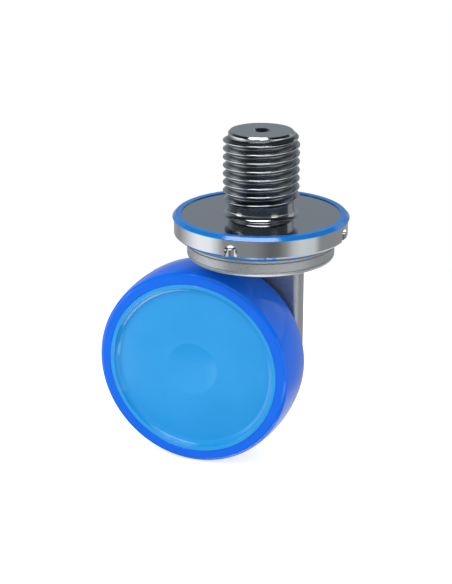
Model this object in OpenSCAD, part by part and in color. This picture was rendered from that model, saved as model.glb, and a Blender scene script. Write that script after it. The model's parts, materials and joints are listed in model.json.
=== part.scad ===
// Swivel castor with a threaded stem, one side arm and a closed wheel.
// Origin: middle of the flange's top face, on the swivel axis. +Z is up the stem.
// The wheel trails towards -X, its recessed face looks along -Y and the arm stands at +Y.

/* [Stem] */
// Outer diameter of the stem's thread
stem_d = 36; // [30:1:40]
// Pitch of the stem's thread
thread_pitch = 4; // [3:0.5:5]
// Height of the stem above the flange
stem_h = 40; // [30:1:60]
// Width of the 45 degree chamfer at the stem's tip
tip_chamfer = 3.3; // [2:0.1:4]
// Height above the flange where the thread starts
thread_from = 6.4; // [5:0.1:14]
// Direction in which the thread starts, from +X towards +Y
thread_start = 110; // [0:5:355]
// Radius of the fillet at the stem's foot
neck_fillet = 3; // [1:0.5:4]
// Diameter of the centre hole at its mouth
centre_d = 8.2; // [5:0.2:10]

/* [Flange] */
// Wall of the flange's rim
rim_wall = 7.5; // [6:0.1:10]
// Chamfer at the rim's lower edge
rim_chamfer = 1.1; // [0.4:0.1:1.4]
// Height of the flange, from its face to its underside
flange_h = 9.85; // [9:0.05:11]
// Thickness of the flange's plate inside its rim
plate_t = 3; // [2:0.1:3.4]
// Width of the stem's collar outside the fillet at the stem's foot
collar_ledge = 2.75; // [1.5:0.05:4]
// Number of hook-spanner slots
slot_count = 4; // [3:1:8]
// Width of a slot, which is the diameter of its ball-ended cutter
slot_w = 6.4; // [4:0.2:7]
// Depth of a slot's top below the flange's face
slot_top = 3.6; // [2:0.1:5]

/* [Flange seal] */
// Width of the seal ring's seat in the flange's edge
ring_w = 3.6; // [2:0.1:5]
// How far the seal ring stands out past the rim
ring_overhang = 0.65; // [0:0.05:1]
// Depth of the seal ring's seat
ring_seat = 1.2; // [0.8:0.1:2]
// How far the seal ring stands above the flange's face
ring_proud = 0.5; // [0:0.1:0.8]

/* [Swivel bearing] */
// Diameter of the spindle, which is the bearing's bore
spindle_d = 35; // [30:1:36]
// Outer diameter of the bearing
swivel_od = 62; // [58:1:62]
// Width of the bearing
swivel_w = 9; // [8:0.5:9.5]
// Diameter of a ball
swivel_ball_d = 7.1; // [6:0.1:7.2]
// Number of balls
swivel_ball_count = 14; // [10:1:16]
// Thickness of the spindle's lock washer
lock_washer_t = 1; // [0.8:0.1:1.2]
// Height of the spindle's lock nut
lock_nut_h = 3; // [2:0.1:3]
// Wall of the lock nut
lock_nut_wall = 6.5; // [5:0.5:8]
// Gap between the lock nut and the base under it
nut_room = 0.8; // [0.4:0.1:2]

/* [Swivel housing] */
// Wall of the housing's neck, which stands up round the bearing inside the flange
neck_wall = 2; // [1.5:0.1:3]
// Width of the housing's shoulder, which the swivel seal sits on
cup_shoulder = 2; // [1.5:0.1:4]
// Height of the swivel seal's room, between the flange and the housing's shoulder
swivel_seal_room = 2.55; // [2:0.05:4]
// Height of the housing's lip above the bearing
lip_h = 1; // [0.6:0.1:1.1]
// Width of the housing's lip over the bearing's outer ring
lip_w = 2; // [1:0.1:3]

/* [Arm] */
// Thickness of the round base under the housing
base_t = 2.25; // [2:0.05:5]
// Radius of the base's polished edge
base_round = 1.9; // [0.5:0.1:4]
// Thickness of the arm
arm_t = 11; // [9:0.5:15]
// Gap between the tyre's side and the arm
arm_gap = 3; // [2.6:0.1:6]
// How far the arm's front edge stands ahead of the swivel axis
arm_front = 13.65; // [6:0.05:15]
// How far the arm's sloping back edge runs forward while it rises by 336
slope_run = 527; // [500:1:640]
// Radius on the arm's edges
arm_round = 3; // [1:0.5:4]

/* [Wheel] */
// Diameter over the tyre
wheel_d = 100; // [96:1:106]
// Distance from the swivel axis back to the axle
trail = 30.2; // [25:0.2:40]
// Gap between the tyre and the base over it
tyre_gap = 8.05; // [5:0.05:20]
// Radius of the tyre's crown, seen from the front
crown_r = 75; // [50:5:150]
// Radius of the tyre's shoulders
shoulder_r = 2.1; // [1:0.1:4]
// Thickness of the tyre at its middle
tread_t = 6.7; // [4:0.1:12]
// Width of the core's bright lip between tyre and cover
core_lip = 2.2; // [1.6:0.1:4]
// Wall of the core under the tyre, at its back edge
core_wall = 2.6; // [2:0.1:4]
// Thickness of the wheel's web
web_t = 4.5; // [3:0.5:6]
// Wall of the hub round the bearings
hub_wall = 4.5; // [3:0.5:7]
// Number of ribs inside the wheel
rib_count = 8; // [4:1:12]
// Thickness of a rib
rib_t = 2.4; // [1.5:0.1:4]

/* [Wheel cover] */
// Depth of the cover's floor below the tyre's side, at the floor's edge
cover_depth = 2.8; // [1.5:0.1:3.2]
// How far the floor's middle stands above its edge
cover_dome = 2.3; // [0:0.1:2.5]
// Radius of the fillet round the floor
cover_fillet = 2.5; // [1:0.1:3]
// Wall of the cover
cover_t = 1.5; // [1:0.1:1.6]
// Diameter of the dimple in the middle
dimple_d = 26; // [16:1:34]
// Depth of the dimple
dimple_depth = 1.6; // [0.5:0.1:1.7]
// Thickness of the cover's seal ring
cover_seal_t = 1.4; // [1:0.1:1.5]

/* [Wheel bearings] */
// Diameter of the axle, which is the bearings' bore
axle_d = 17; // [15:1:17]
// Outer diameter of the bearings
wheel_od = 35; // [34:1:36]
// Width of one bearing
wheel_bearing_w = 10; // [8:0.5:10]
// Diameter of a ball
wheel_ball_d = 4.76; // [4:0.01:5]
// Number of balls in one bearing
wheel_ball_count = 10; // [7:1:11]
// Distance between the two bearings
bearing_gap = 2; // [1:0.5:3]
// Depth of the back bearing inside the tyre's back side
back_inset = 1; // [0.5:0.1:3]
// Gap between the cover and the axle's head
head_gap = 0.7; // [0.4:0.1:2]
// Thickness of the hub's snap ring
snap_t = 1; // [0.8:0.1:1.2]

/* [Axle] */
// How far the axle's head stands out round the shank
head_lip = 2.5; // [1.5:0.1:4]
// Thickness of the axle's head
head_t = 1.5; // [1:0.1:1.5]
// Width across flats of the axle's hexagon socket
socket_af = 8; // [6:1:10]
// Step from the axle's shank down to its threaded end
axle_step = 0.5; // [0.3:0.1:2]
// Wall of the spacer between back bearing and arm
arm_spacer_wall = 4.5; // [3:0.5:6]
// Width across flats of the domed nut
nut_af = 24; // [22:1:27]
// How far the nut's collar stands out past the flats
nut_collar_lip = 2; // [1.5:0.1:5]
// Thickness of the nut's collar
nut_collar_t = 2.5; // [1.5:0.1:4]
// Height of the nut's hexagon above its collar
nut_hex_h = 8; // [6:0.5:10]
// Thickness of the sealing washer under the nut
nut_seal_t = 1.5; // [1:0.1:2.5]

/* [Hidden] */
$fn = 96;

// Clearances: between pieces that are fitted together, and between pieces that turn
seat = 0.03;
running = 0.4;
ball_play = 0.07;
// How far a cutter reaches past what it cuts
past = 1;

steel = [0.62, 0.64, 0.66];
polished = [0.78, 0.80, 0.82];
dark_steel = [0.40, 0.42, 0.45];
blasted = [0.66, 0.68, 0.68];
seal_blue = [0.16, 0.50, 0.90];
tyre_blue = [0.11, 0.40, 0.90];
face_blue = [0.25, 0.65, 0.92];
bearing_steel = [0.72, 0.73, 0.74];
cage_brass = [0.75, 0.62, 0.35];

// Heights along the swivel axis
collar_t = plate_t + running + lip_h;
bearing_top = -collar_t;
bearing_mid = bearing_top - swivel_w / 2;
bearing_bottom = bearing_top - swivel_w;
lock_nut_top = bearing_bottom - lock_washer_t;
lock_nut_bottom = lock_nut_top - lock_nut_h;
lock_nut_r = spindle_d / 2 + lock_nut_wall;
spindle_end = lock_nut_bottom + 0.2;
base_top = lock_nut_bottom - nut_room;
base_bottom = base_top - base_t;
cup_top = flange_h + swivel_seal_room;
stem_r = stem_d / 2;
minor_r = stem_r - 0.61343 * thread_pitch;
tip_r = stem_r - tip_chamfer;
collar_r = minor_r + neck_fillet + collar_ledge;
neck_r = swivel_od / 2 + neck_wall;
cup_r = neck_r + cup_shoulder;
lip_r = swivel_od / 2 - lip_w;
skirt_r = neck_r + 0.6;
rim_r = skirt_r + rim_wall;
ring_in_r = rim_r - ring_w;
slot_h = flange_h - slot_top;
swivel_pitch_r = (spindle_d + swivel_od) / 4;
swivel_ring_wall = 0.3 * (swivel_od - spindle_d) / 2;

// Places along the axle, from the wheel's middle towards the arm
bearing_inset = cover_depth - cover_dome + cover_t + dimple_depth + head_gap + head_t;
tread_w = bearing_inset + 2 * wheel_bearing_w + bearing_gap + back_inset;
half_w = tread_w / 2;
arm_in = half_w + arm_gap;
arm_out = arm_in + arm_t;
front_from = -half_w + bearing_inset;
front_mid = front_from + wheel_bearing_w / 2;
front_to = front_from + wheel_bearing_w;
back_from = front_to + bearing_gap;
back_mid = back_from + wheel_bearing_w / 2;
back_to = back_from + wheel_bearing_w;
hub_end = back_to + snap_t + 0.8;
hub_start = front_from - 0.4;
nut_seal_to = arm_out + nut_seal_t;
nut_hex_from = nut_seal_to + nut_collar_t;
nut_hex_to = nut_hex_from + nut_hex_h;
axle_r = axle_d / 2;
axle_end = nut_hex_to;
wheel_r = wheel_d / 2;
axle_drop = wheel_r + tyre_gap - base_bottom;
axle_thread_r = axle_r - axle_step;
arm_spacer_r = axle_r + arm_spacer_wall;
nut_collar_r = nut_af / 2 + nut_collar_lip;
rim_seat_r = wheel_r - tread_t;
hub_r = wheel_od / 2 + hub_wall;
hub_bore_r = wheel_od / 2 + seat;
cover_r = rim_seat_r - core_lip;
cover_shoulder = -half_w + bearing_inset;
cover_seat_r = cover_r - 3.6;
web_back = half_w - 3.9;
web_front = web_back - web_t;
wheel_pitch_r = (axle_d + wheel_od) / 4;
wheel_ring_wall = 0.31 * (wheel_od - axle_d) / 2;
snap_groove_r = wheel_od / 2 + 0.95;

// The arm's outline, seen from the side: a round end about the axle, and two tangents up to the base.
// 336, 527 and 625 make a right triangle, which keeps the back tangent exact.
arm_r = trail + arm_front;
root_up = axle_drop + base_bottom;
back_angle = 180 - atan2(slope_run, 336);
arm_root = (arm_r - root_up * sin(back_angle)) / cos(back_angle) - trail;

function arc(x, y, r, from, to, n = 8) =
    [for (i = [0:n]) let (a = from + (to - from) * i / n) [x + r * cos(a), y + r * sin(a)]];

// Turns a profile of [radius, height] points about the swivel axis
module lathe(points) rotate_extrude() polygon(points);

// Carries a shape from the wheel's own axis, +Z towards the arm, to its place on the castor
module on_axle() translate([-trail, 0, -axle_drop]) rotate([-90, 0, 0]) children();

// What lies outside a quarter round, about the centre of its arc: cut off an outer corner of a section,
// or added to fill an inner one
module corner_piece(x, y, r, turn, reach = past) translate([x, y]) rotate(turn) difference() {
    square(r + reach);
    circle(r = r);
}

module tube(r_in, r_out, from, to)
    translate([0, 0, from]) rotate_extrude() translate([r_in, 0]) square([r_out - r_in, to - from]);

// One ring of a ball bearing, with its ball groove
module bearing_ring(r_in, r_out, w, pitch_r, ball_d, mid)
    translate([0, 0, mid]) rotate_extrude() difference() {
        translate([r_in, -w / 2]) square([r_out - r_in, w]);
        translate([pitch_r, 0]) circle(d = ball_d + 2 * ball_play);
    }

module ball_set(pitch_r, ball_d, count, mid) for (i = [0:count - 1])
    rotate([0, 0, i * 360 / count]) translate([pitch_r, 0, mid]) sphere(d = ball_d);

module ball_cage(pitch_r, ball_d, count, mid) difference() {
    half_wall = 0.1 * ball_d;
    tube(pitch_r - half_wall, pitch_r + half_wall, mid - 0.62 * ball_d, mid + 0.62 * ball_d);
    for (i = [0:count - 1]) rotate([0, 0, i * 360 / count])
        translate([pitch_r - 2 * half_wall, 0, mid]) rotate([0, 90, 0])
            cylinder(d = ball_d + 2 * ball_play, h = 4 * half_wall);
}

// The thread's ridge: a flat-topped 60 degree profile swept up a helix. It fades out of the neck at
// its lower end, and the cone of the stem's tip cuts it down at its upper end.
thread_steps = 36;
root_under = 0.4;
crest_w = thread_pitch / 8;
ridge_run_out = 0.35;
ridge_turns = (stem_h - (minor_r - tip_r) - thread_from) / thread_pitch;
function crest_at(turn, z) = min(
    minor_r + (stem_r - minor_r) * min(1, 0.1 + turn / ridge_run_out),
    tip_r + stem_h - z - crest_w);
function ridge_ring(i) =
    let (turn = i / thread_steps, a = thread_start + 360 * turn, z = thread_from + thread_pitch * turn,
         crest = crest_at(turn, z), root = minor_r - root_under,
         half_root = crest_w / 2 + (crest - root) * tan(30))
    [for (p = [[root, -half_root], [crest, -crest_w / 2], [crest, crest_w / 2], [root, half_root]])
        [p[0] * cos(a), p[0] * sin(a), z + p[1]]];

module thread_ridge() {
    last = floor(ridge_turns * thread_steps);
    points = [for (i = [0:last]) each ridge_ring(i)];
    flanks = [for (i = [0:last - 1], k = [0:3])
        let (a = 4 * i + k, b = 4 * i + (k + 1) % 4)
        each [[a, b + 4, a + 4], [a, b, b + 4]]];
    ends = [[3, 2, 1, 0], [for (k = [0:3]) 4 * last + k]];
    polyhedron(points, concat(flanks, ends));
}

module stud() color(dark_steel) difference() {
    union() {
        rotate_extrude() {
            polygon([[0, spindle_end], [spindle_d / 2 - 0.8, spindle_end],
                     [spindle_d / 2, spindle_end + 0.8], [spindle_d / 2, -collar_t],
                     [collar_r, -collar_t], [collar_r, 0], [minor_r, 0],
                     [minor_r, stem_h - (minor_r - tip_r)], [tip_r, stem_h], [0, stem_h]]);
            corner_piece(minor_r + neck_fillet, neck_fillet, neck_fillet, 180);
        }
        thread_ridge();
    }
    centre_hole();
}

// Centre hole of the lathe: a 60 degree mouth over a short pilot
module centre_hole() {
    pilot_r = centre_d / 4;
    mouth_depth = (centre_d / 2 - pilot_r) / tan(30);
    lathe([[0, stem_h + past], [centre_d / 2, stem_h + past], [centre_d / 2, stem_h],
           [pilot_r, stem_h - mouth_depth], [pilot_r, stem_h - mouth_depth - centre_d / 2],
           [0, stem_h - mouth_depth - centre_d / 2 - pilot_r * tan(30)]]);
}

module flange() color(polished) difference() {
    roof_fillet = 1;
    lathe(concat(
        [[collar_r + seat, 0], [ring_in_r - seat, 0], [ring_in_r - seat, -ring_seat],
         [rim_r, -ring_seat], [rim_r, rim_chamfer - flange_h], [rim_r - rim_chamfer, -flange_h],
         [skirt_r, -flange_h]],
        arc(skirt_r - roof_fillet, -plate_t - roof_fillet, roof_fillet, 0, 90),
        [[collar_r + seat, -plate_t]]));
    for (i = [0:slot_count - 1]) rotate([0, 0, i * 360 / slot_count]) spanner_slot();
}

// Room for a hook spanner's nose: a half-round groove with a ball end, open below
module spanner_slot() translate([rim_r, 0, -flange_h]) {
    translate([0, 0, -past]) cylinder(d = slot_w, h = slot_h - slot_w / 2 + past);
    translate([0, 0, slot_h - slot_w / 2]) sphere(d = slot_w);
}

module flange_seal() color(seal_blue) {
    top_round = 0.7;
    low_round = 0.4;
    out_r = rim_r + ring_overhang;
    rotate_extrude() difference() {
        polygon([[ring_in_r, -ring_seat], [out_r, -ring_seat], [out_r, ring_proud],
                 [ring_in_r + 0.2, ring_proud], [ring_in_r, ring_proud - 0.2]]);
        corner_piece(out_r - low_round, low_round - ring_seat, low_round, 270);
        corner_piece(out_r - top_round, ring_proud - top_round, top_round, 0);
    }
}

module swivel_inner_ring() color(bearing_steel)
    bearing_ring(spindle_d / 2 + seat, spindle_d / 2 + swivel_ring_wall, swivel_w,
                 swivel_pitch_r, swivel_ball_d, bearing_mid);

module swivel_outer_ring() color(bearing_steel)
    bearing_ring(swivel_od / 2 - swivel_ring_wall, swivel_od / 2, swivel_w,
                 swivel_pitch_r, swivel_ball_d, bearing_mid);

module swivel_balls() color(polished)
    ball_set(swivel_pitch_r, swivel_ball_d, swivel_ball_count, bearing_mid);

module swivel_cage() color(cage_brass)
    ball_cage(swivel_pitch_r, swivel_ball_d, swivel_ball_count, bearing_mid);

// Toothed washer under the lock nut
module spindle_lock_washer() color(steel) {
    washer_r = lock_nut_r - 2;
    tab_w = 4;
    tab_count = 8;
    tube(spindle_d / 2 + seat, washer_r - 1.5, lock_nut_top, bearing_bottom);
    for (i = [0:tab_count - 1]) rotate([0, 0, i * 360 / tab_count])
        translate([washer_r - 2.5, -tab_w / 2, lock_nut_top]) cube([2.5, tab_w, lock_washer_t]);
}

// Round nut with four slots for its spanner
module spindle_lock_nut() color(steel) difference() {
    notch_w = 5;
    notch_depth = 2;
    notch_count = 4;
    lathe([[spindle_d / 2 + seat, lock_nut_bottom], [lock_nut_r - 0.5, lock_nut_bottom],
           [lock_nut_r, lock_nut_bottom + 0.5], [lock_nut_r, lock_nut_top],
           [spindle_d / 2 + seat, lock_nut_top]]);
    for (i = [0:notch_count - 1]) rotate([0, 0, 45 + i * 360 / notch_count])
        translate([lock_nut_r - notch_depth, -notch_w / 2, lock_nut_bottom - past])
            cube([notch_depth + past, notch_w, lock_nut_h + 2 * past]);
}

// Blasted cup: its neck stands up inside the flange and its lip lies over the bearing's outer ring
module swivel_housing() color(blasted) {
    groove_at = -cup_top - 1.4;
    groove_half = 0.35;
    groove_depth = 0.45;
    edge = 0.3;
    bore_r = swivel_od / 2 + seat;
    lathe([[neck_r, -cup_top], [cup_r - edge, -cup_top], [cup_r, -cup_top - edge],
           [cup_r, groove_at + groove_half], [cup_r - groove_depth, groove_at],
           [cup_r, groove_at - groove_half],
           [cup_r, base_top + joint_edge], [cup_r - joint_edge, base_top], [bore_r, base_top],
           [bore_r, bearing_top], [lip_r, bearing_top], [lip_r, bearing_top + lip_h],
           [neck_r - edge, bearing_top + lip_h], [neck_r, bearing_top + lip_h - edge]]);
}

// Small chamfer on both sides of the joint between housing and base
joint_edge = 0.2;

// Seal between cup and flange, stretched over the neck, its lip just under the flange
module swivel_seal() color(seal_blue) {
    lip_top = -flange_h - 0.2;
    foot_h = 0.55 * (cup_top + lip_top);
    lathe([[neck_r + seat, -cup_top], [cup_r - 0.1, -cup_top], [cup_r, -cup_top + 0.1],
           [cup_r, lip_top - 0.5], [cup_r - 0.4, lip_top], [cup_r - 0.9, lip_top],
           [neck_r + seat + 0.5, -cup_top + foot_h], [neck_r + seat, -cup_top + foot_h]]);
}

// Base, spigot and arm are one casting. The spigot clamps the bearing's outer ring in the housing.
module side_arm() color(blasted) difference() {
    union() {
        arm_base();
        arm_slab();
        arm_fillet();
    }
    on_axle() cylinder(r = axle_r + seat, h = arm_out + past);
}

module arm_base() {
    spigot_t = 2.4;
    spigot_r = swivel_od / 2;
    round_r = min(base_round, 0.9 * (base_t - joint_edge));
    rotate_extrude() difference() {
        polygon([[0, base_bottom], [cup_r, base_bottom],
                 [cup_r, base_top - joint_edge], [cup_r - joint_edge, base_top], [spigot_r, base_top],
                 [spigot_r, bearing_bottom], [spigot_r - spigot_t, bearing_bottom],
                 [spigot_r - spigot_t, base_top], [0, base_top]]);
        corner_piece(cup_r - round_r, base_bottom + round_r, round_r, 270);
    }
}

// The arm is a round end and a straight wedge, which meet at the outline's tangent points
module arm_slab() translate([-trail, (arm_in + arm_out) / 2, -axle_drop]) rotate([90, 0, 0]) {
    into_base = 0.5;
    wedge_h = root_up + into_base;
    rotate_extrude() arm_section(0);
    intersection() {
        rotate([90, 0, 0]) translate([0, 0, -wedge_h]) linear_extrude(wedge_h)
            arm_section(-arm_r);
        rotate([0, 0, back_angle]) rotate([90, 0, 0]) linear_extrude(2 * root_up)
            arm_section(-2 * arm_r);
    }
}

// Section through the arm, from a given place out to its outline, where both edges are rounded
module arm_section(inner) difference() {
    translate([inner, -arm_t / 2]) square([arm_r - inner, arm_t]);
    for (side = [0, 1]) mirror([0, side])
        corner_piece(arm_r - arm_round, arm_t / 2 - arm_round, arm_round, 0);
}

// Casting fillet where the arm's inner face meets the base
module arm_fillet() {
    r = 2.5;
    overlap = 0.3;
    translate([arm_root + arm_round, 0, 0]) rotate([90, 0, 90])
        linear_extrude(arm_front - arm_root - 2 * arm_round)
            corner_piece(arm_in - r, base_bottom - r, r, 0, overlap);
}

// Shoulder bolt that carries the wheel: thin head, ground shank, threaded end
module axle() color(steel) on_axle() difference() {
    edge = 0.4;
    head_from = front_from - head_t;
    socket_depth = 6;
    head_r = axle_r + head_lip;
    lathe([[0, head_from], [head_r - edge, head_from], [head_r, head_from + edge],
           [head_r, front_from], [axle_r, front_from], [axle_r, arm_out - edge],
           [axle_thread_r, arm_out + edge], [axle_thread_r, axle_end - 1],
           [axle_thread_r - 1, axle_end],
           [0, axle_end]]);
    translate([0, 0, head_from - past])
        cylinder(d = socket_af / cos(30), h = socket_depth + past, $fn = 6);
}

module axle_nut_seal() color(seal_blue) on_axle()
    tube(axle_thread_r + 0.5, nut_collar_r - 0.4, arm_out, nut_seal_to);

// Domed hygienic nut: collar, hexagon with turned corners, dome
module axle_nut() color(polished) on_axle() difference() {
    corner_r = nut_af / 2 / cos(30);
    dome_r = 0.94 * nut_af / 2;
    union() {
        lathe([[0, nut_seal_to], [nut_collar_r, nut_seal_to],
               [nut_collar_r, nut_seal_to + nut_collar_t / 2],
               [nut_af / 2, nut_hex_from + 0.2], [0, nut_hex_from + 0.2]]);
        intersection() {
            translate([0, 0, nut_hex_from]) cylinder(r = corner_r, h = nut_hex_h, $fn = 6);
            lathe([[0, nut_hex_from], [corner_r + past, nut_hex_from],
                   [corner_r, nut_hex_to - (corner_r - nut_af / 2) * tan(30)],
                   [nut_af / 2 - 0.4, nut_hex_to], [0, nut_hex_to]]);
        }
        intersection() {
            translate([0, 0, nut_hex_to - dome_r / 3]) sphere(r = dome_r);
            translate([0, 0, nut_hex_to - past]) cylinder(r = nut_af, h = nut_af);
        }
    }
    translate([0, 0, nut_seal_to - past])
        cylinder(r = axle_thread_r + seat, h = axle_end - nut_seal_to + past + 1.5);
}

module arm_spacer() color(steel) on_axle() tube(axle_r + seat, arm_spacer_r, back_to, arm_in);

module bearing_spacer() color(steel) on_axle()
    tube(axle_r + seat, axle_r + wheel_ring_wall, front_to, back_from);

module wheel_inner_ring(mid) color(bearing_steel) on_axle()
    bearing_ring(axle_r + seat, axle_r + wheel_ring_wall, wheel_bearing_w,
                 wheel_pitch_r, wheel_ball_d, mid);

module wheel_outer_ring(mid) color(bearing_steel) on_axle()
    bearing_ring(wheel_od / 2 - wheel_ring_wall, wheel_od / 2, wheel_bearing_w,
                 wheel_pitch_r, wheel_ball_d, mid);

module wheel_balls(mid) color(polished) on_axle()
    ball_set(wheel_pitch_r, wheel_ball_d, wheel_ball_count, mid);

module wheel_cage(mid) color(cage_brass) on_axle()
    ball_cage(wheel_pitch_r, wheel_ball_d, wheel_ball_count, mid);

// Ring with a lip that sweeps the hub's end, stretched over the arm's spacer
module hub_seal() color(seal_blue) on_axle() {
    body_r = arm_spacer_r + seat;
    lip_at = hub_end + 0.2;
    back = arm_in - 0.1;
    lathe([[body_r, back], [body_r + 3.2, back], [body_r + 3.2, back - 0.5],
           [body_r + 7, lip_at + 0.2], [body_r + 7, lip_at], [body_r + 6.4, lip_at],
           [body_r + 2.2, back - 1], [body_r + 2, lip_at], [body_r, lip_at]]);
}

// C-shaped ring that holds the back bearing in the hub
module hub_snap_ring() color(steel) on_axle() {
    opening = 24;
    rotate([0, 0, 90 + opening / 2]) translate([0, 0, back_to])
        rotate_extrude(angle = 360 - opening)
            translate([wheel_od / 2 - 1.9, 0]) square([1.9 + 0.9, snap_t]);
}

// Tyre: crowned tread, round shoulders and flat sides
module tread() color(tyre_blue) on_axle() {
    crown_mid = wheel_r - crown_r;
    shoulder_at = half_w - shoulder_r;
    crown_half = asin(shoulder_at / (crown_r - shoulder_r));
    shoulder_mid = crown_mid + (crown_r - shoulder_r) * cos(crown_half);
    lathe(concat(
        [[rim_seat_r + seat, -half_w]],
        arc(shoulder_mid, -shoulder_at, shoulder_r, -90, -crown_half, 8),
        arc(crown_mid, 0, crown_r, -crown_half, crown_half, 10),
        arc(shoulder_mid, shoulder_at, shoulder_r, crown_half, 90, 8),
        [[rim_seat_r + seat, half_w]]));
}

// Moulded rim, web and hub in one, with ribs on the closed side
module wheel_core() color(face_blue) on_axle() {
    lip_round = 0.65;
    edge = 0.2;
    fillet = 2.5;
    back_wall_r = rim_seat_r - core_wall;
    lip_in_r = cover_r + seat;
    rib_in_r = hub_r - 0.5;
    rotate_extrude() difference() {
        polygon(concat(
        [[lip_in_r, cover_shoulder], [lip_in_r, -half_w],
         [rim_seat_r - edge, -half_w], [rim_seat_r, edge - half_w], [rim_seat_r, half_w - edge],
         [rim_seat_r - edge, half_w], [back_wall_r, half_w]],
        arc(back_wall_r - fillet, web_back + fillet, fillet, 0, -90),
        arc(hub_r + fillet, web_back + fillet, fillet, -90, -180),
        [[hub_r, hub_end - 2 * edge], [hub_r - 2 * edge, hub_end], [hub_bore_r, hub_end],
         [hub_bore_r, back_to + snap_t + seat], [snap_groove_r, back_to + snap_t + seat],
         [snap_groove_r, back_to], [hub_bore_r, back_to], [hub_bore_r, back_from],
         [hub_bore_r - 2, back_from], [hub_bore_r - 2, front_to], [hub_bore_r, front_to],
         [hub_bore_r, hub_start], [hub_r, hub_start]],
        arc(hub_r + fillet, web_front - fillet, fillet, 180, 90),
        arc(cover_seat_r - fillet, web_front - fillet, fillet, 90, 0),
        [[cover_seat_r, cover_shoulder]]));
        corner_piece(lip_in_r + lip_round, lip_round - half_w, lip_round, 180);
        corner_piece(back_wall_r + lip_round, half_w - lip_round, lip_round, 90);
    }
    for (i = [0:rib_count - 1]) rotate([0, 0, (i + 0.5) * 360 / rib_count])
        translate([rib_in_r, -rib_t / 2, hub_start + 3])
            cube([cover_seat_r + 1 - rib_in_r, rib_t, web_front - hub_start - 2]);
}

// Recessed face: domed floor with a dimple, a fillet up to the lip and a rim that snaps into the core
floor_r = cover_r - cover_fillet;
dome_r = (pow(floor_r, 2) + pow(cover_dome, 2)) / (2 * max(cover_dome, 0.01));
function floor_at(r) = cover_depth - half_w - (sqrt(pow(dome_r, 2) - r * r) - (dome_r - cover_dome));
dimple_r = dimple_d / 2;
dimple_curve_r = (pow(dimple_r, 2) + pow(dimple_depth, 2)) / (2 * dimple_depth);
function dimple_at(r) = floor_at(dimple_r) + dimple_depth
    - (dimple_curve_r - sqrt(pow(dimple_curve_r, 2) - r * r));
function face_at(r) = r < dimple_r ? dimple_at(r) : floor_at(r);

module wheel_cover() color(face_blue) on_axle() {
    fillet_from = 25;
    fillet_to = 82;
    dimple_steps = 6;
    floor_steps = 10;
    radii = concat(
        [for (i = [0:dimple_steps]) dimple_r * i / dimple_steps],
        [for (i = [1:floor_steps]) dimple_r + (floor_r - dimple_r) * i / floor_steps]);
    seal_room = cover_seal_t + 0.3;
    seal_from = cover_shoulder - 0.7 - seal_room;
    inner = [for (r = radii) if (r < cover_seat_r) [r, face_at(r) + cover_t]];
    lathe(concat(
        [for (r = radii) [r, face_at(r)]],
        arc(floor_r, cover_depth - half_w - cover_fillet, cover_fillet, fillet_to, fillet_from, 7),
        [[cover_r, cover_depth - half_w - 0.72 * cover_fillet],
         [cover_r, seal_from], [cover_r - cover_seal_t - seat, seal_from],
         [cover_r - cover_seal_t - seat, seal_from + seal_room], [cover_r, seal_from + seal_room],
         [cover_r, cover_shoulder], [cover_seat_r, cover_shoulder],
         [cover_seat_r, floor_at(cover_seat_r) + cover_t]],
        [for (i = [len(inner) - 1:-1:0]) inner[i]]));
}

// Round seal ring in the cover's groove
module cover_seal() color(seal_blue) on_axle()
    translate([0, 0, cover_shoulder - 0.7 - (cover_seal_t + 0.3) / 2])
        rotate_extrude() translate([cover_r - cover_seal_t / 2, 0]) circle(d = cover_seal_t);

stud();
flange();
flange_seal();
swivel_inner_ring();
spindle_lock_washer();
spindle_lock_nut();
swivel_housing();
swivel_seal();
swivel_outer_ring();
swivel_balls();
swivel_cage();
side_arm();
axle();
axle_nut();
axle_nut_seal();
arm_spacer();
bearing_spacer();
wheel_inner_ring(front_mid);  // wheel_inner_ring_front
wheel_inner_ring(back_mid);  // wheel_inner_ring_back
hub_seal();
tread();
wheel_core();
wheel_cover();
cover_seal();
wheel_outer_ring(front_mid);  // wheel_outer_ring_front
wheel_outer_ring(back_mid);  // wheel_outer_ring_back
wheel_balls(front_mid);  // wheel_balls_front
wheel_balls(back_mid);  // wheel_balls_back
wheel_cage(front_mid);  // wheel_cage_front
wheel_cage(back_mid);  // wheel_cage_back
hub_snap_ring();
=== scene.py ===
import json
import math

import bpy
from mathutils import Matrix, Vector


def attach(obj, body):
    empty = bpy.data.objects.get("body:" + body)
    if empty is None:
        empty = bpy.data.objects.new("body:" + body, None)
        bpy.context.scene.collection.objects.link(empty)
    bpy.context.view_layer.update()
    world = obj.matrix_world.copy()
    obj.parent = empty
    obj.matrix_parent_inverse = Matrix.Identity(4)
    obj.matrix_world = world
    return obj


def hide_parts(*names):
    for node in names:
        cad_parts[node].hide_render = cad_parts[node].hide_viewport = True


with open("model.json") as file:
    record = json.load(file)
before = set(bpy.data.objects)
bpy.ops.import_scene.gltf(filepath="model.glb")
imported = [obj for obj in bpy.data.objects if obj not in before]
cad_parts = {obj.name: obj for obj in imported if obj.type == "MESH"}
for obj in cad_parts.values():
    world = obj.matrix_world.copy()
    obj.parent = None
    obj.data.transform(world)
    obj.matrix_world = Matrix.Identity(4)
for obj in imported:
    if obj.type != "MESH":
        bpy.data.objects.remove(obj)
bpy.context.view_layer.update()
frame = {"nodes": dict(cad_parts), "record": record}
print("frame loaded:", len(frame["nodes"]), "nodes")

mm = 0.001
wheelPlace = {"x": -30.2, "z": -78.5}  # the axle runs along Y through here
poleReach = 1e-6  # a point of a section this close to its axis is a pole


def srgb(code):
    # hex text to the linear colour that a shader socket takes
    values = [int(code[i:i + 2], 16) / 255 for i in (1, 3, 5)]
    linear = [v / 12.92 if v <= 0.04045 else ((v + 0.055) / 1.055) ** 2.4 for v in values]
    return (*linear, 1.0)


def grey(level):
    return (level, level, level, 1.0)


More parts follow.
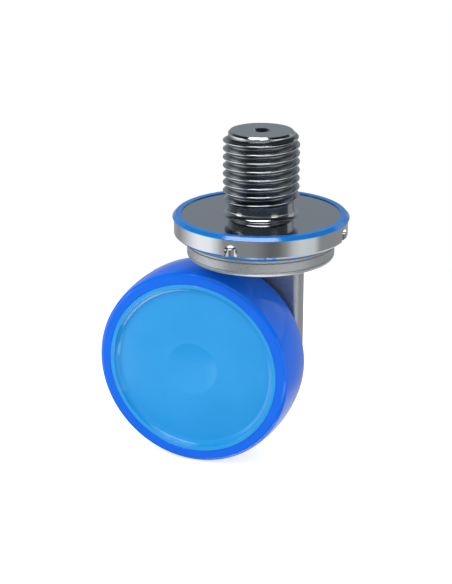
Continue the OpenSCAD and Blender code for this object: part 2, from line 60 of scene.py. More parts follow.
def addNode(tree, kind, settings=None, inputs=None, stops=()):
    # inputs: a socket's name or number, and the value it is set to or the output that it is linked from
    # stops: places along a colour ramp, each with a hex colour or a grey level
    node = tree.nodes.new(kind)
    for name, value in (settings or {}).items():
        owner, _, last = name.rpartition(".")
        setattr(getattr(node, owner) if owner else node, last, value)
    for key, value in (inputs or {}).items():
        if isinstance(value, bpy.types.NodeSocket):
            tree.links.new(value, node.inputs[key])
        else:
            node.inputs[key].default_value = value
    if stops:
        elements = node.color_ramp.elements
        while len(elements) < len(stops):
            elements.new(0.5)
        for element, (position, colour) in zip(elements, stops):
            element.position = position
            element.color = srgb(colour) if isinstance(colour, str) else grey(colour)
    return node


# Finishes, one for each material slot of the record. Depths and pattern sizes are in millimetres.
usualNoise = (0.3, 0.7)  # a noise seldom leaves this range


def newFinish(name, look):
    # a material with its constant values set on the shader's own sockets
    material = bpy.data.materials.new(name)
    material.use_nodes = True
    tree = material.node_tree
    shader = next(n for n in tree.nodes if n.type == "BSDF_PRINCIPLED")
    for socket, value in look.items():
        shader.inputs[socket].default_value = srgb(value) if isinstance(value, str) else value
    return material, tree, shader


def noiseTones(tree, shader, noise, tones):
    # the colour wanders between two tones
    ramp = addNode(tree, "ShaderNodeValToRGB", None, {0: noise.outputs[0]}, [*zip(usualNoise, tones)])
    tree.links.new(ramp.outputs["Color"], shader.inputs["Base Color"])


def noiseSurface(tree, shader, noise, rough, depth, dull=None):
    # one noise spreads the roughness and gives the relief; dull adds roughness where its share is high
    spread = addNode(tree, "ShaderNodeMapRange", None,
                     {"Value": noise.outputs[0], "From Min": usualNoise[0], "From Max": usualNoise[1],
                      "To Min": rough[0], "To Max": rough[1]})
    if dull:
        spread = addNode(tree, "ShaderNodeMath", {"operation": "MULTIPLY_ADD"},
                         {0: dull["share"], 1: dull["rougher"], 2: spread.outputs[0]})
    tree.links.new(spread.outputs[0], shader.inputs["Roughness"])
    bump = addNode(tree, "ShaderNodeBump", None,
                   {"Strength": 1.0, "Distance": depth * mm, "Height": noise.outputs[0]})
    tree.links.new(bump.outputs["Normal"], shader.inputs["Normal"])


def makeTurnedSteel(name, look, feed, rough, depth, grooveShade=None):
    # turned metal: fine rings left by the tool, which polishing or grinding nearly takes away
    material, tree, shader = newFinish(name, look)
    place = addNode(tree, "ShaderNodeTexCoord")
    parts = addNode(tree, "ShaderNodeSeparateXYZ", None, {0: place.outputs["Object"]})
    flat = addNode(tree, "ShaderNodeCombineXYZ", None, {0: parts.outputs[0], 1: parts.outputs[1]})
    out = addNode(tree, "ShaderNodeVectorMath", {"operation": "LENGTH"}, {0: flat.outputs[0]})
    radius, height = out.outputs["Value"], parts.outputs[2]
    # the rings run round the Z axis, so their noise only knows the radius and the height
    track = addNode(tree, "ShaderNodeCombineXYZ", None, {0: radius, 2: height})
    marks = addNode(tree, "ShaderNodeTexNoise", None,
                    {"Vector": track.outputs[0], "Scale": 1 / (feed * mm), "Detail": 2.0})
    dull = None
    if grooveShade:
        # painted shade: the thread's grooves are coloured darker, and they are made rougher, as the
        # polishing wheel doesn't reach into them
        share = 1.0
        for value, (start, end) in ((radius, grooveShade["out"]), (height, grooveShade["foot"]),
                                    (height, grooveShade["head"])):
            step = addNode(tree, "ShaderNodeMapRange", None,
                           {"Value": value, "From Min": start * mm, "From Max": end * mm})
            share = addNode(tree, "ShaderNodeMath", {"operation": "MULTIPLY"},
                            {0: share, 1: step.outputs[0]}).outputs[0]
        # the base colour is mixed darker in the grooves: painted shade
        grooveShadeTone = addNode(tree, "ShaderNodeMix", {"data_type": "RGBA"},
                       {0: share, 6: srgb(look["Base Color"]), 7: srgb(grooveShade["grooveShadeTone"])})
        tree.links.new(grooveShadeTone.outputs[2], shader.inputs["Base Color"])
        dull = {"share": share, "rougher": grooveShade["rougher"]}
    noiseSurface(tree, shader, marks, rough, depth, dull)
    return material


def makeBlastedSteel(name, look, tones, grain, rough, depth):
    # bead-blasted stainless casting: an even matt grain that glitters a little
    # the real grain is about 0.1 mm, drawn coarser here so that it shows
    material, tree, shader = newFinish(name, look)
    place = addNode(tree, "ShaderNodeTexCoord")
    speckle = addNode(tree, "ShaderNodeTexNoise", None,
                      {"Vector": place.outputs["Object"], "Scale": 1 / (grain * mm), "Detail": 3.0,
                       "Roughness": 0.7})
    noiseTones(tree, shader, speckle, tones)
    noiseSurface(tree, shader, speckle, rough, depth)
    return material


def makePlastic(name, look, tones, cloud, ripple, rough, depth):
    # moulded plastic: nearly even colour, with the faint flow clouds and ripple of its mould
    material, tree, shader = newFinish(name, look)
    place = addNode(tree, "ShaderNodeTexCoord")
    flow = addNode(tree, "ShaderNodeTexNoise", None,
                   {"Vector": place.outputs["Object"], "Scale": 1 / (cloud * mm), "Detail": 2.0})
    noiseTones(tree, shader, flow, tones)
    waves = addNode(tree, "ShaderNodeTexNoise", None,
                    {"Vector": place.outputs["Object"], "Scale": 1 / (ripple * mm), "Detail": 1.0})
    noiseSurface(tree, shader, waves, rough, depth)
    return material


finishes = {
    # stainless bar, turned and polished: a slightly soft mirror with bright crests
    # grooveShade: painted shade, a darker colour with more roughness, from the first radius or height of
    # each pair to the second
    "stem_steel": makeTurnedSteel("turnedStemSteel", {"Base Color": "#babec1", "Metallic": 1.0},
                                  feed=0.5, rough=(0.1, 0.14), depth=0.0006,
                                  grooveShade={"out": (17.5, 15.8), "foot": (6.4, 7.4), "head": (38.6, 38.0),
                                           "grooveShadeTone": "#777b7f", "rougher": 0.1}),
    # the same steel on the flange, polished further: a clear mirror
    "polished_steel": makeTurnedSteel("polishedStainless", {"Base Color": "#babec1", "Metallic": 1.0},
                                      feed=0.6, rough=(0.06, 0.1), depth=0.0006),
    "blasted_steel": makeBlastedSteel("blastedStainless", {"Metallic": 0.75}, ("#93979a", "#bfc3c5"),
                                      grain=0.45, rough=(0.3, 0.42), depth=0.015),
    # turned and left so: satin, with visible rings
    "plain_steel": makeTurnedSteel("turnedSteel", {"Base Color": "#b6b9bc", "Metallic": 1.0},
                                   feed=0.4, rough=(0.2, 0.3), depth=0.002),
    # hardened chrome steel, ground: bright and even
    "bearing_steel": makeTurnedSteel("groundBearingSteel", {"Base Color": "#c9ccce", "Metallic": 1.0},
                                     feed=0.3, rough=(0.08, 0.14), depth=0.0005),
    # sheet brass, pressed: satin yellow
    "cage_brass": makeTurnedSteel("pressedBrass", {"Base Color": "#cfa85a", "Metallic": 1.0},
                                  feed=0.5, rough=(0.22, 0.32), depth=0.002),
    # polyurethane ring, moulded: glossy, with a strong highlight on its bevel
    "seal_blue": makePlastic("sealPolyurethane", {"IOR": 1.7}, ("#0b74c9", "#117bd1"),
                             cloud=14.0, ripple=2.0, rough=(0.1, 0.14), depth=0.001),
    # polyurethane tread, cast: deep blue with a soft gloss
    "tyre_blue": makePlastic("tyrePolyurethane", {"IOR": 1.42}, ("#056bed", "#0c71f5"),
                             cloud=22.0, ripple=3.0, rough=(0.1, 0.14), depth=0.0012),
    # polyamide, injection moulded: a light, evenly glossy blue
    "face_blue": makePlastic("facePolyamide", {"IOR": 1.5}, ("#299fe7", "#30a5ed"),
                             cloud=26.0, ripple=3.0, rough=(0.08, 0.12), depth=0.001),
}
slotOf = {part["node"]: part["material_slot"] for part in frame["record"]["subparts"]}
for name, node in frame["nodes"].items():
    node.data.materials.clear()
    node.data.materials.append(finishes[slotOf[name]])
print("finishes made:", len(finishes))


# Turned and moulded pieces, smoother than the model's own facets.

def arc(x, y, radius, start, end, count):
    # points on an arc in a section, [distance from the axis, place along it]
    steps = [math.radians(start + (end - start) * i / count) for i in range(count + 1)]
    return [(x + radius * math.cos(a), y + radius * math.sin(a)) for a in steps]


def turnSection(section, steps, onAxle, sharpFrom):
    # revolves a closed section; each corner keeps the section's own slope, so flats stay flat beside fillets
    area = sum(a[0] * b[1] - b[0] * a[1] for a, b in zip(section, section[1:] + section[:1]))
    points = section if area > 0 else section[::-1]
    count = len(points)
    slopes = []
    for a, b in zip(points, points[1:] + points[:1]):
        length = math.dist(a, b) or 1.0
        slopes.append(((b[1] - a[1]) / length, (a[0] - b[0]) / length, length))

    def cornerSlope(own, other):
        # two runs that meet nearly straight share a slope, and the longer one has more say
        if own[0] * other[0] + own[1] * other[1] < math.cos(math.radians(sharpFrom)):
            return own[0], own[1]
        mixed = [own[k] * own[2] + other[k] * other[2] for k in (0, 1)]
        size = math.hypot(*mixed)
        return mixed[0] / size, mixed[1] / size

    turns = [(math.cos(math.tau * j / steps), math.sin(math.tau * j / steps)) for j in range(steps)]

    def placed(across, along, j, shift):
        # shift is 1 for a point and 0 for a direction
        c, s = turns[j % steps]
        if onAxle:
            return (across * c + shift * wheelPlace["x"], along, across * s + shift * wheelPlace["z"])
        return (across * c, across * s, along)

    vertices, firsts = [], []
    for across, along in points:
        firsts.append(len(vertices))
        for j in range(1 if across < poleReach else steps):
            vertices.append([v * mm for v in placed(across, along, j, 1)])
    faces, normals = [], []
    for i in range(count):
        k = (i + 1) % count
        poleA, poleB = points[i][0] < poleReach, points[k][0] < poleReach
        if poleA and poleB:
            continue
        atA = cornerSlope(slopes[i], slopes[i - 1])
        atB = cornerSlope(slopes[i], slopes[k])
        for j in range(steps):
            corners = [(firsts[i] + (0 if poleA else j), atA, j),
                       (firsts[k] + (0 if poleB else j), atB, j),
                       (firsts[k] + (0 if poleB else (j + 1) % steps), atB, j + 1),
                       (firsts[i] + (0 if poleA else (j + 1) % steps), atA, j + 1)]
            if poleA:
                corners.pop()
            if poleB:
                corners.pop(1)
            if not onAxle:
                corners.reverse()
            faces.append([c[0] for c in corners])
            normals += [placed(*c[1], c[2], 0) for c in corners]
    return vertices, faces, normals


def turnedPiece(name, section, finish, onAxle=False, steps=288, sharpFrom=26):
    vertices, faces, normals = turnSection(section, steps, onAxle, sharpFrom)
    mesh = bpy.data.meshes.new(name)
    mesh.from_pydata(vertices, [], faces)
    mesh.shade_smooth()
    mesh.normals_split_custom_set(normals)
    mesh.materials.append(finishes[finish])
    piece = bpy.data.objects.new(name, mesh)
    bpy.context.scene.collection.objects.link(piece)
    return piece


# Stem: a plain turned bar, into which Geometry Nodes cut the thread. The bar's rows follow the helix, so
# every crest and root runs along one row.
stem = {"radius": 18.0, "pitch": 4.0, "height": 40.0, "tip": 14.7, "threadFrom": 6.4, "startAngle": 110.0,
        "depthInPitches": 0.61343, "crestWidth": 0.5, "runOut": 0.35, "crestRound": 0.3, "rootRound": 0.35,
        "neckFillet": 3.0, "centreHole": 4.1, "pilotDepth": 4.1, "drillTip": 1.2, "collar": 21.3,
        "collarDepth": 4.4, "spindle": 17.5, "spindleEnd": -17.2, "spindleChamfer": 0.8,
        "bandFrom": 4.2, "bandTo": 39.3, "columns": 192, "sharpFrom": 30, "joinReach": 0.002}
stem["root"] = stem["radius"] - stem["depthInPitches"] * stem["pitch"]
# rows inside one pitch, closer together at the crest and at the root
stemRows = [0.0, 0.1, 0.2, 0.3, 0.4, 0.52, 0.66, 0.84, 1.06, 1.28, 1.46, 1.6, 1.72, 1.84, 1.95]
stemRows += [stem["pitch"] - v for v in [2.0] + stemRows[:0:-1]]


def stemBlank():
    # the plain ends are turned; between them lies the band that the thread is cut into
    root, tip, top = stem["root"], stem["tip"], stem["height"]
    spindle, end, fillet = stem["spindle"], stem["spindleEnd"], stem["neckFillet"]
    pilot = stem["centreHole"] / 2
    mouth = (stem["centreHole"] - pilot) / math.tan(math.radians(30))  # a 60 degree centre drill
    pilotEnd = top - mouth - stem["pilotDepth"]
    foot = ([(0, end), (spindle - stem["spindleChamfer"], end), (spindle, end + stem["spindleChamfer"]),
             (spindle, -stem["collarDepth"]), (stem["collar"], -stem["collarDepth"]), (stem["collar"], 0)]
            + arc(root + fillet, fillet, fillet, -90, -180, 12) + [(root, stem["bandFrom"])])
    head = [(tip + top - stem["bandTo"], stem["bandTo"]), (tip, top), (stem["centreHole"], top),
            (pilot, top - mouth), (pilot, pilotEnd), (0, pilotEnd - stem["drillTip"])]
    columns, perTurn = stem["columns"], len(stemRows)
    vertices, faces = [], []

    def addPoint(across, along, j):
        a = math.tau * j / columns + math.radians(stem["startAngle"])
        vertices.append((across * math.cos(a) * mm, across * math.sin(a) * mm, along * mm))

    for run in (foot, head):
        firsts = []
        for across, along in run:
            firsts.append(len(vertices))
            for j in range(1 if across < poleReach else columns):
                addPoint(across, along, j)
        for (a, b), (ra, rb) in zip(zip(firsts, firsts[1:]), zip(run, run[1:])):
            for j in range(columns):
                k = (j + 1) % columns
                if ra[0] < poleReach:
                    faces.append((a, b + k, b + j))
                elif rb[0] < poleReach:
                    faces.append((a + j, a + k, b))
                else:
                    faces.append((a + j, a + k, b + k, b + j))
    first = len(vertices)
    # two turns more at the foot, because a row starts a turn lower than it ends
    turns = range(-2, math.ceil((stem["bandTo"] - stem["threadFrom"]) / stem["pitch"]) + 1)
    for turn in turns:
        for row in stemRows:
            for j in range(columns):
                addPoint(stem["radius"], stem["threadFrom"] + stem["pitch"] * (turn + j / columns) + row, j)
    rows = len(turns) * perTurn
    for i in range(rows - 1):
        for j in range(columns):
            # past the last column a row goes on as the one a pitch higher
            k, lift = (j + 1, 0) if j + 1 < columns else (0, perTurn)
            if i + 1 + lift < rows:
                faces.append([first + v for v in (i * columns + j, (i + lift) * columns + k,
                                                  (i + 1 + lift) * columns + k, (i + 1) * columns + j)])
    return vertices, faces


def cutThread(blank, finish):
    tree = bpy.data.node_groups.new("cutThread", "GeometryNodeTree")
    tree.is_modifier = True
    tree.interface.new_socket("Geometry", in_out="OUTPUT", socket_type="NodeSocketGeometry")
    tree.interface.new_socket("Geometry", in_out="INPUT", socket_type="NodeSocketGeometry")
    lengths = {"Pitch": stem["pitch"], "Crest Radius": stem["radius"], "Root Radius": stem["root"],
               "Half Crest": stem["crestWidth"] / 2, "Thread Start": stem["threadFrom"],
               "Crest Rounding": stem["crestRound"], "Root Rounding": stem["rootRound"],
               "Tip Radius": stem["tip"], "Stem Height": stem["height"],
               "Band From": stem["bandFrom"], "Band To": stem["bandTo"], "Join Reach": stem["joinReach"]}
    others = {"Run Out": stem["runOut"], "Start Lap": stem["startAngle"] / 360, "Finish": finish}
    for name in [*lengths, *others]:
        kind = "NodeSocketMaterial" if name == "Finish" else "NodeSocketFloat"
        tree.interface.new_socket(name, in_out="INPUT", socket_type=kind)
    given = addNode(tree, "NodeGroupInput")
    place = addNode(tree, "GeometryNodeInputPosition")
    parts = addNode(tree, "ShaderNodeSeparateXYZ", None, {0: place.outputs[0]})
    values = {"x": parts.outputs[0], "y": parts.outputs[1], "z": parts.outputs[2]}
    values.update({name: given.outputs[name] for name in [*lengths, "Run Out", "Start Lap"]})
    steps = [
        # the bar's surface: how far out, which way round, and the height kept inside the band
        ("xx", "MULTIPLY", "x", "x"), ("yy", "MULTIPLY", "y", "y"), ("rr", "ADD", "xx", "yy"),
        ("bar radius", "SQRT", "rr"),
        ("angle", "ARCTAN2", "y", "x"), ("full lap", "DIVIDE", "angle", math.tau),
        ("own lap", "SUBTRACT", "full lap", "Start Lap"), ("lap", "FRACT", "own lap"),
        ("above", "MAXIMUM", "z", "Band From"), ("height", "MINIMUM", "above", "Band To"),
        # the nearest ridge, and how far along the stem it is
        ("rise", "SUBTRACT", "height", "Thread Start"), ("laps up", "DIVIDE", "rise", "Pitch"),
        ("turn", "SUBTRACT", "laps up", "lap"), ("ridge", "ROUND", "turn"),
        ("offset", "SUBTRACT", "turn", "ridge"), ("away", "ABSOLUTE", "offset"),
        ("distance", "MULTIPLY", "away", "Pitch"),
        ("ridge lap", "ADD", "ridge", "lap"), ("ridge rise", "MULTIPLY", "ridge lap", "Pitch"),
        ("ridge z", "ADD", "ridge rise", "Thread Start"),
        # the crest grows out of the neck, and the tip's cone cuts it down
        ("grown", "DIVIDE", "ridge lap", "Run Out"), ("share", "MINIMUM", "grown", 1.0),
        ("depth", "SUBTRACT", "Crest Radius", "Root Radius"), ("stand", "MULTIPLY", "depth", "share"),
        ("full crest", "ADD", "Root Radius", "stand"),
        ("tip room", "SUBTRACT", "Stem Height", "ridge z"), ("tip crest", "ADD", "tip room", "Tip Radius"),
        ("crest", "MINIMUM", "full crest", "tip crest"),
        # flanks at 30 degrees, rounded into crest and root
        ("past crest", "SUBTRACT", "distance", "Half Crest"),
        ("drop", "MULTIPLY", "past crest", math.sqrt(3)), ("flank", "SUBTRACT", "crest", "drop"),
        ("ridge top", "SMOOTH_MIN", "crest", "flank", "Crest Rounding"),
        ("thread", "SMOOTH_MAX", "ridge top", "Root Radius", "Root Rounding"),
        ("cone room", "SUBTRACT", "Stem Height", "height"), ("cone", "ADD", "cone room", "Tip Radius"),
        ("cut", "MINIMUM", "thread", "cone"),
        ("scale", "DIVIDE", "cut", "bar radius"),
        ("new x", "MULTIPLY", "x", "scale"), ("new y", "MULTIPLY", "y", "scale"),
        # only the bar at its full diameter is threaded
        ("bar", "MULTIPLY", "Crest Radius", 0.999), ("over", "GREATER_THAN", "bar radius", "bar"),
        ("wide", "MULTIPLY", "Crest Radius", 1.001), ("under", "LESS_THAN", "bar radius", "wide"),
        ("chosen", "MULTIPLY", "over", "under"),
    ]
    for name, operation, *terms in steps:
        made = addNode(tree, "ShaderNodeMath", {"operation": operation},
                       {i: values.get(term, term) for i, term in enumerate(terms)})
        values[name] = made.outputs[0]
    moved = addNode(tree, "ShaderNodeCombineXYZ", None,
                    {0: values["new x"], 1: values["new y"], 2: values["height"]})
    cut = addNode(tree, "GeometryNodeSetPosition", None,
                  {"Geometry": given.outputs["Geometry"], "Selection": values["chosen"],
                   "Position": moved.outputs[0]})
    # rows that ended outside the band fall together on its two edges, where they join foot and head
    closed = addNode(tree, "GeometryNodeMergeByDistance", None,
                     {"Geometry": cut.outputs[0], "Distance": values["Join Reach"]})
    whole = addNode(tree, "GeometryNodeRealizeInstances", None, {0: closed.outputs[0]})
    dressed = addNode(tree, "GeometryNodeSetMaterial", None,
                      {"Geometry": whole.outputs[0], "Material": given.outputs["Finish"]})
    addNode(tree, "NodeGroupOutput", None, {0: dressed.outputs[0]})
    modifier = blank.modifiers.new("cutThread", "NODES")
    modifier.node_group = tree
    for socket in tree.interface.items_tree:
        if socket.in_out == "INPUT" and socket.name in lengths:
            modifier[socket.identifier] = lengths[socket.name] * mm
        if socket.in_out == "INPUT" and socket.name in others:
            modifier[socket.identifier] = others[socket.name]
    ready = blank.evaluated_get(bpy.context.evaluated_depsgraph_get())
    mesh = bpy.data.meshes.new_from_object(ready)
    blank.modifiers.clear()
    blank.data = mesh
    mesh.shade_smooth()
    mesh.set_sharp_from_angle(angle=math.radians(stem["sharpFrom"]))


vertices, faces = stemBlank()
stemMesh = bpy.data.meshes.new("threadedStem")
stemMesh.from_pydata(vertices, [], faces)
stemPiece = bpy.data.objects.new("threadedStem", stemMesh)
bpy.context.scene.collection.objects.link(stemPiece)
cutThread(stemPiece, finishes["stem_steel"])
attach(stemPiece, "head")
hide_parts("stud")
print("stem cut:", len(stemPiece.data.polygons), "faces")

# Blue ring let into the flange's edge, with a bevel towards the rim.
edgeRing = {"inner": 37.5, "outer": 41.75, "low": -1.2, "high": 0.5, "bevel": 1.5, "bevelRound": 0.25,
            "innerRound": 0.2}


def ringSection():
    inner, outer, high, soft = (edgeRing[k] for k in ("inner", "outer", "high", "bevelRound"))
    turnIn = soft * math.tan(math.radians(22.5))  # from the bevel's corner to where its rounding ends
    return ([(inner, edgeRing["low"]), (outer, edgeRing["low"])]
            + arc(outer - soft, high - edgeRing["bevel"] - turnIn, soft, 0, 45, 4)
            + arc(outer - edgeRing["bevel"] - turnIn, high - soft, soft, 45, 90, 4)
            + arc(inner + edgeRing["innerRound"], high - edgeRing["innerRound"], edgeRing["innerRound"],
                  90, 180, 4))


ringPiece = turnedPiece("flangeRing", ringSection(), "seal_blue")
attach(ringPiece, "head")
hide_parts("flange_seal")

# Tyre: crowned tread with round shoulders.
tyre = {"radius": 50.0, "seat": 43.33, "half": 14.4, "crown": 75.0, "shoulder": 2.1, "innerRound": 0.15,
        "steps": 360}


def tyreSection():
    half, crown, shoulder, easing = (tyre[k] for k in ("half", "crown", "shoulder", "innerRound"))
    # the crown meets the shoulder where both have the same slope
    lean = math.degrees(math.asin((half - shoulder) / (crown - shoulder)))
    shoulderAt = tyre["radius"] - crown + (crown - shoulder) * math.cos(math.radians(lean))
    return ([(tyre["seat"], easing - half), (tyre["seat"] + easing, -half)]
            + arc(shoulderAt, shoulder - half, shoulder, -90, -lean, 16)
            + arc(tyre["radius"] - crown, 0, crown, -lean, lean, 24)[1:-1]
            + arc(shoulderAt, half - shoulder, shoulder, lean, 90, 16)
            + [(tyre["seat"] + easing, half), (tyre["seat"], half - easing)])


tyrePiece = turnedPiece("tyre", tyreSection(), "tyre_blue", onAxle=True, steps=tyre["steps"])
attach(tyrePiece, "wheel")
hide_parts("tread")

# Cover: recessed floor, domed, with a dimple in the middle and a fillet up to the lip.
cover = {"radius": 41.1, "face": -14.4, "depth": 2.8, "dome": 2.3, "wall": 1.5, "floorSteps": 96,
         "fillet": 2.5, "filletFrom": 84, "filletTo": 20, "lipDrop": 0.72,  # drop in fillet radii
         "dimple": 13.0, "dimpleDepth": 1.6, "dimpleRound": 0.35,
         "seat": 37.5, "shoulder": -8.6, "groove": 1.4, "grooveWidth": 1.7, "grooveEdge": 0.7}


def coverFloor(r):
    edge = cover["radius"] - cover["fillet"]
    curve = (edge ** 2 + cover["dome"] ** 2) / (2 * cover["dome"])
    floorAt = cover["face"] + cover["depth"] - (math.sqrt(curve ** 2 - r * r) - curve + cover["dome"])
    easing = cover["dimpleRound"]
    inner = cover["dimple"] - easing
    if r >= cover["dimple"] + easing:
        return floorAt
    bowl = (cover["dimple"] ** 2 + cover["dimpleDepth"] ** 2) / (2 * cover["dimpleDepth"])
    if r <= inner:
        return floorAt + cover["dimpleDepth"] - bowl + math.sqrt(bowl ** 2 - r * r)
    # the bowl's edge is eased into the floor over a short way on both sides
    way = (r - inner) / (2 * easing)
    slope = -inner / math.sqrt(bowl ** 2 - inner ** 2)
    start = cover["dimpleDepth"] - bowl + math.sqrt(bowl ** 2 - inner ** 2)
    return floorAt + start * (1 - way) ** 2 * (1 + 2 * way) + slope * 2 * easing * way * (1 - way) ** 2


def coverSection():
    radius, fillet, wall = cover["radius"], cover["fillet"], cover["wall"]
    edge, floorEdge = radius - fillet, cover["face"] + cover["depth"]
    radii = [edge * i / cover["floorSteps"] for i in range(cover["floorSteps"])]
    front = [(r, coverFloor(r)) for r in radii]
    back = [(r, coverFloor(r) + wall) for r in radii if r < cover["seat"]]
    grooveTop = cover["shoulder"] - cover["grooveEdge"]
    grooveLow = grooveTop - cover["grooveWidth"]
    deep = radius - cover["groove"]
    return (front + arc(edge, floorEdge - fillet, fillet, cover["filletFrom"], cover["filletTo"], 14)
            + [(radius, floorEdge - cover["lipDrop"] * fillet),
               (radius, grooveLow), (deep, grooveLow), (deep, grooveTop), (radius, grooveTop),
               (radius, cover["shoulder"]), (cover["seat"], cover["shoulder"]),
               (cover["seat"], coverFloor(cover["seat"]) + wall)]
            + back[::-1])


coverPiece = turnedPiece("wheelCover", coverSection(), "face_blue", onAxle=True)
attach(coverPiece, "wheel")
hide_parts("wheel_cover")
print("turned pieces made:", sum(len(p.data.polygons) for p in (ringPiece, tyrePiece, coverPiece)), "faces")

# Camera, where the photograph was taken from.
view = {"place": (229.0, -656.8, 209.0), "lookX": -0.3515, "lookY": 0.9362, "down": 19.67, "lens": 94.77,
        "film": 36, "clipFrom": 10}
cameraData = bpy.data.cameras.new("camera")
cameraData.lens = view["lens"]
cameraData.sensor_width = view["film"]  # on the picture's long side
cameraData.clip_start = view["clipFrom"] * mm
camera = bpy.data.objects.new("camera", cameraData)
bpy.context.scene.collection.objects.link(camera)
camera.location = Vector(view["place"]) * mm
level = math.cos(math.radians(view["down"]))
look = Vector((view["lookX"] * level, view["lookY"] * level, -math.sin(math.radians(view["down"]))))
camera.rotation_euler = look.to_track_quat("-Z", "Y").to_euler()
bpy.context.scene.camera = camera

# Softbox to the left of the camera and above it. Azimuth and elevation as seen from the castor's middle.
softbox = {"azimuth": -25, "elevation": 45, "distance": 1200, "width": 1100, "height": 620, "watts": 5.5,
           "aim": (-10, 0, -40)}
boxData = bpy.data.lights.new("keySoftbox", "AREA")
boxData.shape = "RECTANGLE"
boxData.size, boxData.size_y = softbox["width"] * mm, softbox["height"] * mm
boxData.energy = softbox["watts"]
boxLamp = bpy.data.objects.new("keySoftbox", boxData)
bpy.context.scene.collection.objects.link(boxLamp)
a, e = math.radians(softbox["azimuth"]), math.radians(softbox["elevation"])
towards = Vector((math.sin(a) * math.cos(e), -math.cos(a) * math.cos(e), math.sin(e)))
boxLamp.location = Vector(softbox["aim"]) * mm + towards * softbox["distance"] * mm
boxLamp.rotation_euler = (-towards).to_track_quat("-Z", "Y").to_euler()
boxLamp.visible_glossy = False  # mirrors meet the lights that are painted below, not this lamp

# The world is white behind the castor and lights matt surfaces evenly. Mirror rays meet a painted studio.
# across: the share of a full turn from -X, where the camera stands at 0.306
# up: 0 straight down, 0.5 level, 1 straight up; each stop is a place with its colour or grey level
studio = {
    # grey walls, bright to the left and right of the camera and dark beside it
    "walls": {"across": [(0.0, 1.05), (0.025, 1.36), (0.055, 1.58), (0.11, 1.52), (0.14, 1.02),
                         (0.165, 0.44), (0.28, 0.4), (0.31, 0.29), (0.339, 0.2), (0.369, 0.25),
                         (0.397, 0.46), (0.425, 0.9), (0.456, 1.1), (0.511, 1.0), (0.54, 0.44),
                         (0.93, 0.44), (0.97, 0.75), (1.0, 1.05)]},
    # a ceiling that is dark on the camera's side
    "ceiling": {"up": [(0.5, "#959ca3"), (0.688, "#959ca3"), (0.77, "#484b50"), (0.985, "#3d4044"),
                       (0.993, "#80858b")],
                "across": [(0.0, 0.4), (0.06, 0.25), (0.54, 0.25), (0.62, 0.4), (0.7, 1.0), (0.9, 1.0),
                           (1.0, 0.4)]},
    "toCeiling": {"up": [(0.5, 0.0), (0.56, 1.0)], "blend": "EASE"},
    # a bright wall low down to the right behind the castor, which shows on the side of the tread
    "backWall": {"across": [(0.6, 0.0), (0.61, 1.0), (0.695, 1.0), (0.7, 0.0)],
                 "up": [(0.53, 0.0), (0.55, 1.0), (0.74, 1.0), (0.75, 0.0)]},
    # a soft light over the camera, 60 to 76 degrees up
    "topPanel": {"across": [(0.085, 0.0), (0.105, 1.0), (0.41, 1.0), (0.44, 0.0)],
                 "up": [(0.915, 0.0), (0.935, 1.0), (0.985, 1.0), (0.99, 0.0)]},
    # a floor that is pale behind the castor and dim before it
    "ground": {"across": [(0.0, 0.4), (0.08, 0.12), (0.52, 0.12), (0.6, 0.9), (0.94, 0.9), (1.0, 0.4)]},
    "toFloor": {"up": [(0.22, 1.0), (0.30, 0.0)], "blend": "EASE"},
    # lights to the left and right of the camera, one below it, and the table's front edge
    "sidePanels": {"across": [(0.045, 0.0), (0.055, 2.4), (0.1, 2.4), (0.11, 0.0), (0.4, 0.0),
                              (0.41, 2.0), (0.46, 2.0), (0.47, 0.0)],
                   "up": [(0.53, 0.0), (0.54, 1.0), (0.61, 1.0), (0.62, 0.0)]},
    "lowLight": {"across": [(0.12, 0.0), (0.15, 4.0), (0.48, 4.0), (0.52, 0.0)],
                 "up": [(0.0, 1.0), (0.09, 1.0), (0.105, 0.0)]},
    "tableEdge": {"across": [(0.25, 0.0), (0.28, 2.6), (0.41, 2.6), (0.45, 0.0)],
                  "up": [(0.22, 0.0), (0.24, 1.0), (0.29, 1.0), (0.31, 0.0)]},
}
studioLevels = {"matt": 0.8, "backWall": 0.6, "topPanel": 5.5}
world = bpy.data.worlds.new("studio")
bpy.context.scene.world = world
world.use_nodes = True
sky = world.node_tree
sky.nodes.clear()
direction = addNode(sky, "ShaderNodeTexCoord").outputs["Generated"]
parts = addNode(sky, "ShaderNodeSeparateXYZ", None, {0: direction})
turn = addNode(sky, "ShaderNodeMath", {"operation": "ARCTAN2"}, {0: parts.outputs[1], 1: parts.outputs[0]})
across = addNode(sky, "ShaderNodeMapRange", None,
                 {"Value": turn.outputs[0], "From Min": -math.pi, "From Max": math.pi})
up = addNode(sky, "ShaderNodeMapRange", None,
             {"Value": parts.outputs[2], "From Min": -1.0, "From Max": 1.0})
painted = {}
for name, area in studio.items():
    levels = [addNode(sky, "ShaderNodeValToRGB", {"color_ramp.interpolation": area.get("blend", "LINEAR")},
                      {0: place.outputs[0]}, area[way]).outputs["Color"]
              for way, place in (("across", across), ("up", up)) if way in area]
    if len(levels) == 2:
        both = addNode(sky, "ShaderNodeMix", {"data_type": "RGBA", "blend_type": "MULTIPLY"},
                       {0: 1.0, 6: levels[0], 7: levels[1]})
        levels = [both.outputs[2]]
    painted[name] = levels[0]
room = addNode(sky, "ShaderNodeMix", {"data_type": "RGBA"},
               {0: painted["backWall"], 6: painted["ceiling"], 7: grey(studioLevels["backWall"])})
shade = painted["walls"]
for mask, colour in (("toCeiling", room.outputs[2]), ("topPanel", grey(studioLevels["topPanel"])),
                     ("toFloor", painted["ground"])):
    shade = addNode(sky, "ShaderNodeMix", {"data_type": "RGBA"},
                    {0: painted[mask], 6: shade, 7: colour}).outputs[2]
for light in ("sidePanels", "lowLight", "tableEdge"):
    shade = addNode(sky, "ShaderNodeMix", {"data_type": "RGBA", "blend_type": "ADD"},
                    {0: 1.0, 6: shade, 7: painted[light]}).outputs[2]
path = addNode(sky, "ShaderNodeLightPath")
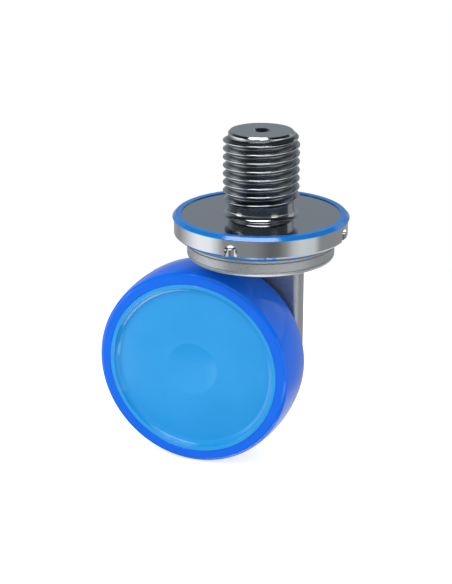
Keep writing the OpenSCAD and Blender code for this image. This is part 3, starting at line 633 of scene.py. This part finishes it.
seen = addNode(sky, "ShaderNodeMath", {"operation": "MAXIMUM"},
               {0: path.outputs["Is Camera Ray"], 1: path.outputs["Is Transmission Ray"]})
lit = addNode(sky, "ShaderNodeMix", {"data_type": "RGBA"},
              {0: path.outputs["Is Glossy Ray"], 6: grey(studioLevels["matt"]), 7: shade})
shown = addNode(sky, "ShaderNodeMix", {"data_type": "RGBA"},
                {0: seen.outputs[0], 6: lit.outputs[2], 7: grey(1.0)})
background = addNode(sky, "ShaderNodeBackground", None, {"Color": shown.outputs[2], "Strength": 1.0})
addNode(sky, "ShaderNodeOutputWorld", None, {"Surface": background.outputs[0]})
print("studio painted:", len(painted), "areas")

# A round white table under the wheel, lifted to white for the camera, less the castor's shadow.
table = {"radius": 300.0, "height": -128.5, "sides": 128, "glow": 0.7}
tableMaterial, tableTree, tableShader = newFinish("paleTable", {"Base Color": "#ececec", "Roughness": 0.9})
tablePath = addNode(tableTree, "ShaderNodeLightPath")
glow = addNode(tableTree, "ShaderNodeEmission", None, {"Color": grey(1.0), "Strength": table["glow"]})
lifted = addNode(tableTree, "ShaderNodeAddShader", None, {0: tableShader.outputs[0], 1: glow.outputs[0]})
tableMix = addNode(tableTree, "ShaderNodeMixShader", None,
                   {0: tablePath.outputs["Is Camera Ray"], 1: tableShader.outputs[0], 2: lifted.outputs[0]})
tableOut = next(n for n in tableTree.nodes if n.type == "OUTPUT_MATERIAL")
tableTree.links.new(tableMix.outputs[0], tableOut.inputs["Surface"])
rim = [(table["radius"] * math.cos(math.tau * i / table["sides"]) * mm,
        table["radius"] * math.sin(math.tau * i / table["sides"]) * mm, table["height"] * mm)
       for i in range(table["sides"])]
floorMesh = bpy.data.meshes.new("floor")
floorMesh.from_pydata(rim, [], [tuple(range(table["sides"]))])
floorMesh.materials.append(tableMaterial)
floor = bpy.data.objects.new("floor", floorMesh)
floor.visible_glossy = False  # mirrors meet the painted studio's floor, in the world
bpy.context.scene.collection.objects.link(floor)

bpy.context.scene.view_settings.view_transform = "Standard"
